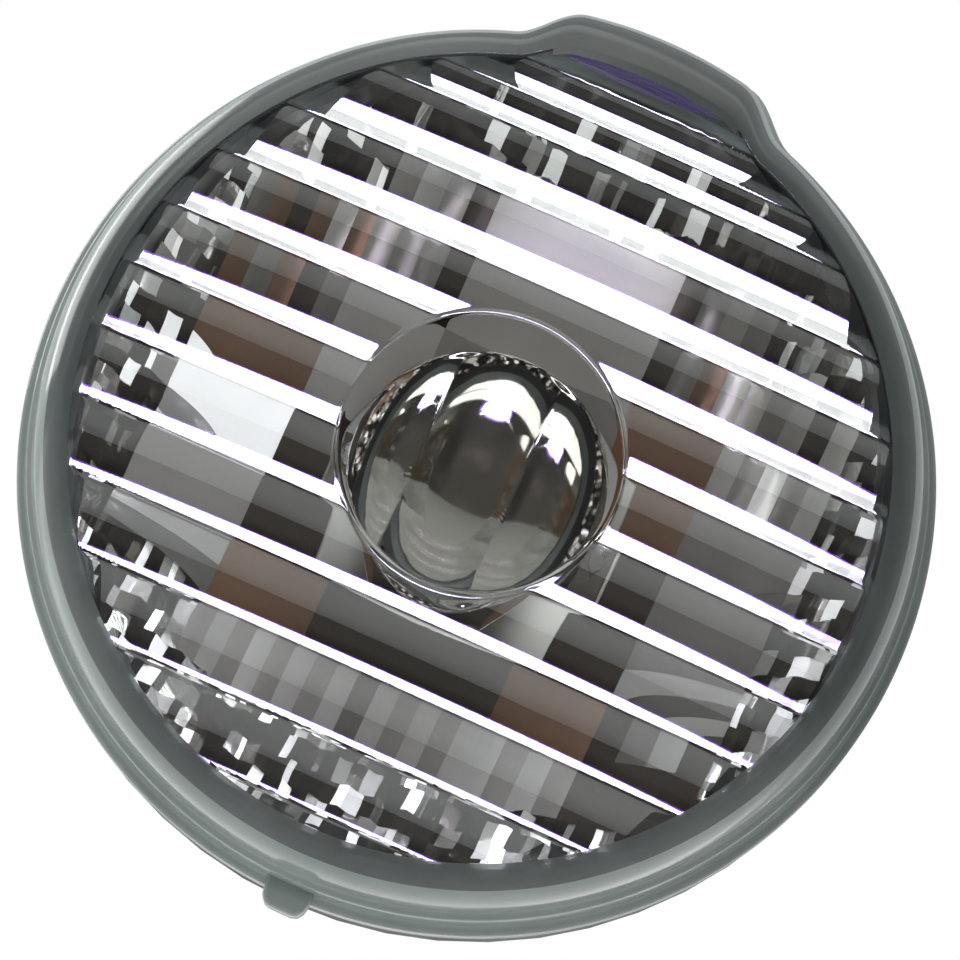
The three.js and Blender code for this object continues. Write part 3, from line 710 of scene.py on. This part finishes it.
def turned_piece(name, profile, material, body, seg=256, painted_tone=None, closed=True, smooth_angle=28, replaces=None):
    verts, faces = [], []
    n = len(profile)
    for r, y in profile:
        for j in range(seg):
            t = 2 * math.pi * j / seg
            verts.append((max(r, 1e-3) * math.sin(t), y, max(r, 1e-3) * math.cos(t)))
    for i in range(n if closed else n - 1):
        for j in range(seg):
            a = i * seg + j
            b = i * seg + (j + 1) % seg
            k = (i + 1) % n
            faces.append((a, b, k * seg + (j + 1) % seg, k * seg + j))
    ob = new_object(name, verts, faces, material, body, replaces=replaces,
                    painted_tone=None if painted_tone is None else np.tile(np.array(painted_tone, np.float32), (len(verts), 1)))
    ob.data.set_sharp_from_angle(angle=math.radians(smooth_angle))
    return ob


# neck, skirt and back of the reflector
# The neck's and skirt's dull colours are painted reflection: darker than the bright metallising, standing for the
# darker surroundings it mirrors.
neck = turned_piece("reflector_neck", arc_points([(10.8, 24.0), (18.45, 24.0), (18.9, 24.25), (19.4, 25.6), (18.9, 26.0), (10.8, 26.0), (10.8, 24.0)], 0.25),
             M_CHROME, "lamp", painted_tone=(0.135, 0.130, 0.124, 0.9))
turned_piece("reflector_skirt", arc_points([(47.2, -5.5), (48.3, -5.5), (48.3, 3.2), (47.6, 3.4), (46.6, 2.9), (46.75, 2.0), (47.2, 1.4), (47.2, -5.5)], 0.25),
             M_CHROME, "lamp", painted_tone=(0.075, 0.08, 0.082, 0.9))


def back_profile():
    front = []
    for r in np.linspace(NECK_R + 0.6, RIM_R + 0.6, 22):
        front.append((float(r), bowl(float(r)) + 1.3))
    rear = [(r + 0.5, y + 1.1) for r, y in reversed(front)]
    return front + rear + [front[0]]


turned_piece("reflector_shell", back_profile(), M_HOUSING, "lamp", seg=160)


# ---------------------------------------------------------------- bulb shield

SHIELD_R = 15.4
SHIELD_LINE = [(0.0, -4.0), (3.0, -3.92), (6.0, -3.6), (8.2, -3.1), (10.0, -2.5), (11.6, -1.72), (13.0, -0.8), (14.0, 0.02), (14.8, 0.8), (15.2, 1.3), (15.4, 1.75)]
CREASES = [-15.6, -7.4, 4.7, 15.6]


def build_shield():
    """Domed cap, its face made of three convex upright flutes."""
    seg = 360
    crown = [float(r) for r in np.concatenate([[0.01], np.arange(0.4, 14.4, 0.3), [14.5, 14.75, 15.0, 15.15, 15.27, 15.35, SHIELD_R]])]
    ys = np.interp(crown, [q[0] for q in SHIELD_LINE], [q[1] for q in SHIELD_LINE])
    ys = [float(v) for v in np.convolve(np.concatenate([[ys[0]] * 3, ys, [ys[-1]] * 3]), np.ones(7) / 7, "valid")]
    shrink = (SHIELD_R - 0.8) / SHIELD_R
    prof_o = list(zip(crown, ys)) + [(SHIELD_R, y) for y in (2.4, 8.9)] + [(15.5, 9.1), (15.5, 9.5), (15.3, 9.62), (14.7, 9.6), (14.6, 9.4)]
    prof_i = [(r * shrink, y + 0.85) for r, y in reversed(list(zip(crown, ys))[::2])]
    verts = []
    for i, (r, y) in enumerate(prof_o + prof_i):
        for j in range(seg):
            t = 2 * math.pi * j / seg
            x, z = r * math.sin(t), r * math.cos(t)
            yy = y
            scale = 1.0 if i < len(crown) else shrink
            if i < len(crown) or i >= len(prof_o):
                for c0, c1 in zip(CREASES, CREASES[1:]):
                    if c0 <= x / scale <= c1:
                        u = abs(2 * (x / scale - c0) / (c1 - c0) - 1)
                        yy = y + 1.3 * u ** 2.2 * (1.0 - 0.75 * smoothstep(14.6, 15.4, r / scale))
            verts.append((x, yy, z))
    faces = grid_faces(len(prof_o) + len(prof_i), seg)
    return new_object("shield_cap", verts, faces, M_SHIELD, "lamp", replaces="bulb_shield")


shield = build_shield()


def shield_legs():
    for s, side in ((-1, "left"), (1, "right")):
        pts = [(13.5, 8.7), (14.9, 8.7), (14.9, 9.45), (14.3, 9.45), (14.0, 9.75), (14.0, 22.3), (14.6, 22.9), (18.0, 22.9), (18.0, 23.7), (14.0, 23.7), (13.2, 22.9), (13.2, 9.0)]
        pts = arc_points(pts + [pts[0]], 0.25)[:-1]
        verts, faces = [], []
        zs = [-2.6, -2.45, 2.45, 2.6]
        n = len(pts)
        for z in zs:
            for x, y in pts:
                verts.append((s * x, y, z))
        for i in range(3):
            for j in range(n):
                a, b = i * n + j, i * n + (j + 1) % n
                faces.append((a, b, b + n, a + n))
        faces.append(tuple(range(n)))
        faces.append(tuple(range(4 * n - 1, 3 * n - 1, -1)))
        ob = new_object("shield_leg_" + side, verts, faces, M_SHIELD, "lamp")
        ob.data.set_sharp_from_angle(angle=math.radians(35))


shield_legs()


# ---------------------------------------------------------------- kept CAD nodes

def keep(node, material, bevel=0.25, segments=2, angle=32):
    ob = NODES[node]
    if not ob.data.materials:
        ob.data.materials.append(material)
    for i in range(len(ob.material_slots)):
        ob.material_slots[i].material = material
    ob.data.polygons.foreach_set("use_smooth", [True] * len(ob.data.polygons))
    ob.data.set_sharp_from_angle(angle=math.radians(angle))
    weld = ob.modifiers.new("weld", "WELD")
    weld.merge_threshold = 1e-6
    if bevel > 0:
        bv = ob.modifiers.new("edges", "BEVEL")
        bv.width = bevel / 1000.0
        bv.segments = segments
        bv.limit_method = "ANGLE"
        bv.angle_limit = math.radians(angle)
        bv.harden_normals = True
        bv.use_clamp_overlap = True
        wn = ob.modifiers.new("flat_faces", "WEIGHTED_NORMAL")
        wn.keep_sharp = True
        wn.weight = 90
    return ob


keep("housing", M_HOUSING, 0.3)
keep("mounting_bracket", M_BRACKET, 0.4, 3)
keep("vent_cap", M_VENT, 0.3)
keep("lens_seal", M_SEAL, 0.0)
for n in ("bracket_sleeve_left", "bracket_sleeve_right", "pivot_screw_left", "pivot_screw_right", "adjuster_screw", "adjuster_clip", "shield_rivet_left", "shield_rivet_right"):
    keep(n, M_ZINC, 0.15)
for n in ("pivot_bush_left", "pivot_bush_right", "adjuster_ball_nut"):
    keep(n, M_NYLON, 0.15)
keep("ball_socket", M_GREY_NYLON, 0.2)
keep("bulb_base", M_BULB_BASE, 0.3)
keep("bulb_o_ring", M_ORING, 0.0)
keep("bulb_collar", M_COLLAR, 0.2)
keep("bulb_glass", M_BULB_GLASS, 0.0)
for n in ("bulb_filament", "filament_lead_left", "filament_lead_right"):
    keep(n, M_WIRE, 0.0)
for n in ("terminal_left", "terminal_right"):
    keep(n, M_BRASS, 0.12)


# ---------------------------------------------------------------- floor, light, camera

def build_floor():
    me = bpy.data.meshes.new("floor")
    s = 3.0
    z = -0.215
    me.from_pydata([(-s, -s, z), (s, -s, z), (s, s, z), (-s, s, z)], [], [(0, 1, 2, 3)])
    ob = bpy.data.objects.new("floor", me)
    scene.collection.objects.link(ob)
    m = Mat("floor_paper")
    p = m.principled(Roughness=0.85)
    m.link(m.ramp(m.noise(6.0, 4.0), [(0.3, (0.80, 0.80, 0.79)), (0.7, (0.83, 0.83, 0.82))]), p.inputs["Base Color"])
    me.materials.append(m.m)
    return ob


build_floor()


def world():
    w = bpy.data.worlds.new("studio")
    scene.world = w
    w.use_nodes = True
    t = w.node_tree
    t.nodes.clear()
    out = t.nodes.new("ShaderNodeOutputWorld")
    geo = t.nodes.new("ShaderNodeTexCoord")
    sep = t.nodes.new("ShaderNodeSeparateXYZ")
    t.links.new(geo.outputs["Generated"], sep.inputs[0])

    def math_node(op, a, b=None):
        n = t.nodes.new("ShaderNodeMath")
        n.operation = op
        for i, v in enumerate((a, b)):
            if v is None:
                continue
            if isinstance(v, (int, float)):
                n.inputs[i].default_value = v
            else:
                t.links.new(v, n.inputs[i])
        return n.outputs[0]

    def band(v, lo, hi, soft):
        m1 = t.nodes.new("ShaderNodeMapRange")
        m1.interpolation_type = "SMOOTHSTEP"
        m1.inputs["From Min"].default_value = lo - soft
        m1.inputs["From Max"].default_value = lo + soft
        t.links.new(v, m1.inputs["Value"])
        m2 = t.nodes.new("ShaderNodeMapRange")
        m2.interpolation_type = "SMOOTHSTEP"
        m2.inputs["From Min"].default_value = hi - soft
        m2.inputs["From Max"].default_value = hi + soft
        m2.inputs["To Min"].default_value = 1.0
        m2.inputs["To Max"].default_value = 0.0
        t.links.new(v, m2.inputs["Value"])
        return math_node("MULTIPLY", m1.outputs[0], m2.outputs[0])

    # azimuth from the lamp's own forward direction, and elevation, in degrees
    az = math_node("MULTIPLY", math_node("ARCTAN2", sep.outputs["X"], math_node("MULTIPLY", sep.outputs["Y"], -1.0)), 57.2958)
    el = math_node("MULTIPLY", math_node("ARCSINE", sep.outputs["Z"]), 57.2958)

    def mix(fac, a, b):
        n = t.nodes.new("ShaderNodeMix")
        n.data_type = "RGBA"
        t.links.new(fac, n.inputs["Factor"])
        for sock, v in ((n.inputs[6], a), (n.inputs[7], b)):
            if isinstance(v, tuple):
                sock.default_value = (*v, 1.0)
            else:
                t.links.new(v, sock)
        return n.outputs[2]

    col = mix(band(el, -8, 200, 10), (0.30, 0.295, 0.28), (0.40, 0.395, 0.38))
    for (a0, a1, e0, e1, soft, c) in WORLD_PATCHES:
        f = math_node("MULTIPLY", band(az, a0, a1, soft), band(el, e0, e1, soft))
        col = mix(f, col, c)
    lp = t.nodes.new("ShaderNodeLightPath")
    shown = mix(lp.outputs["Is Camera Ray"], col, (1.0, 1.0, 1.0))
    bg = t.nodes.new("ShaderNodeBackground")
    t.links.new(shown, bg.inputs["Color"])
    bg.inputs["Strength"].default_value = 1.0
    t.links.new(bg.outputs[0], out.inputs["Surface"])
    w.cycles.sampling_method = "MANUAL"
    w.cycles.sample_map_resolution = 256


WORLD_PATCHES = [
    # azimuth from, to, elevation from, to, softness, colour
    (-180, -95, -30, 60, 6, (0.60, 0.60, 0.61)),
    (95, 180, -30, 60, 6, (0.55, 0.55, 0.56)),
    (-60, 60, -60, 64, 12, (0.055, 0.052, 0.049)),
    (-24, 60, -60, 22, 9, (0.14, 0.130, 0.120)),
    (44, 78, -8, 26, 3, (0.16, 0.11, 0.075)),
    (-78, -50, -4, 18, 3, (0.10, 0.075, 0.05)),
    (-180, 180, 62, 120, 6, (0.9, 0.9, 0.92)),
]
world()


def area(name, loc, target, sx, sy, power, colour=(1, 1, 1), only=None, shape="RECTANGLE"):
    li = bpy.data.lights.new(name, "AREA")
    li.shape = shape
    li.size, li.size_y = sx, sy
    li.energy = power
    li.color = colour
    ob = bpy.data.objects.new(name, li)
    ob.location = loc
    ob.rotation_mode = "QUATERNION"
    ob.rotation_quaternion = (Vector(target) - Vector(loc)).to_track_quat("-Z", "Y")
    scene.collection.objects.link(ob)
    ob.visible_camera = False
    if only:
        group = bpy.data.collections.new(name + "_on")
        for other in only:
            group.objects.link(other)
        ob.light_linking.receiver_collection = group
    return ob


def towards(azimuth, elevation, distance):
    a, e = math.radians(azimuth), math.radians(elevation)
    return MIDDLE + Vector((math.sin(a) * math.cos(e), -math.cos(a) * math.cos(e), math.sin(e))) * distance


MIDDLE = Vector(P(0, -5, 0))
LAMP_PARTS = [o for o in scene.objects if o.type == "MESH" and o.name != "floor"]
LENS_PARTS = [o for o in LAMP_PARTS if o.name == "lens_glass"]
RIM_PARTS = [o for o in LAMP_PARTS if o.name in ("lens_rim", "lens_nub")]
area("fill_rear", (0.5, 0.8, 0.35), MIDDLE, 0.7, 0.7, 9.0, only=[o for o in scene.objects if o.type == "MESH" and o not in LENS_PARTS + RIM_PARTS])
area("fill_left", (-0.8, 0.25, 0.2), MIDDLE, 0.6, 0.6, 5.0)
area("fill_front", towards(3, -8, 0.8), MIDDLE, 0.25, 0.25, 14.0, only=[reflector, neck])
area("softbox", towards(-5, 47, 0.8), MIDDLE, 0.56, 0.40, 5.1, only=[o for o in LAMP_PARTS if o is not shield and o not in RIM_PARTS], shape="ELLIPSE")
area("rim_fill", towards(-40, 50, 0.8), MIDDLE, 0.9, 0.9, 4.0, only=RIM_PARTS)
fringe = area("softbox_fringe", towards(-5, 47, 0.81), MIDDLE, 0.61, 0.445, 3.2, (0.35, 0.10, 1.0), only=LENS_PARTS, shape="ELLIPSE")
fringe.visible_diffuse = False
area("overhead", towards(-6, 66, 0.7), MIDDLE, 1.8, 0.55, 12.0, only=LENS_PARTS)


def camera():
    cd = bpy.data.cameras.new("camera")
    cam = bpy.data.objects.new("camera", cd)
    scene.collection.objects.link(cam)
    scene.camera = cam
    dist = 0.65
    az, el, roll = math.radians(CAM_AZ), math.radians(CAM_EL), math.radians(24.5)
    target = Vector(P(0, 0, 0))
    back = Vector((math.sin(az) * math.cos(el), -math.cos(az) * math.cos(el), math.sin(el)))
    q = (-back).to_track_quat("-Z", "Y")
    right = q @ Vector((1, 0, 0))
    up = q @ Vector((0, 1, 0))
    target = target + right * CAM_DX + up * CAM_DY
    cam.location = target + back * dist
    cam.rotation_mode = "QUATERNION"
    cam.rotation_quaternion = q @ Matrix.Rotation(roll, 3, "Z").to_quaternion()
    cd.sensor_width = 36
    cd.lens = 18 * dist / 0.05635
    cd.clip_start, cd.clip_end = 0.02, 20


CAM_AZ, CAM_EL = 3.0, -10.0
CAM_DX, CAM_DY = 0.0004, -0.00015
camera()

scene.view_settings.view_transform = "Standard"
scene.view_settings.look = "None"
scene.view_settings.exposure = 0.0
